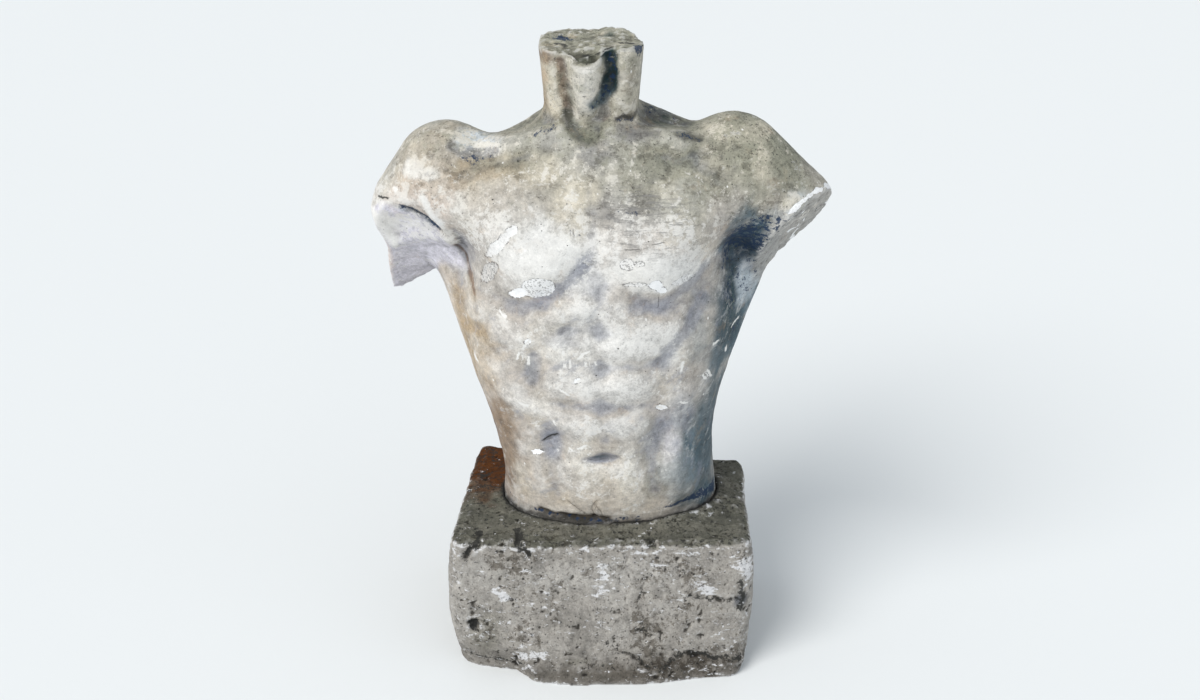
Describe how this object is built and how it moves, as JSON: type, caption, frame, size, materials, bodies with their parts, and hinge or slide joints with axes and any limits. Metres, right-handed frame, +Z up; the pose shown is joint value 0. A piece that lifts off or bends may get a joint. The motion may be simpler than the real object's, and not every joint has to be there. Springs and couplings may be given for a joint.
{
  "type": "headless male torso sculpture on plinth",
  "caption": "Weathered plaster male torso, headless and armless, standing in a shallow bed on a rough rectangular cement block.",
  "frame": {"origin": "middle of the plinth's underside, on the surface that the object stands on", "axes": "+Z up, the figure faces -Y, and the figure's own left side is at +X"},
  "size_m": [0.3548, 0.1925, 0.5037],
  "materials": {
    "patinated_plaster": "matt, chipped and stained plaster",
    "cast_cement": "rough cast sand and cement"
  },
  "bodies": {
    "root": {"torso": "patinated_plaster", "plinth": "cast_cement"}
  },
  "joints": []
}
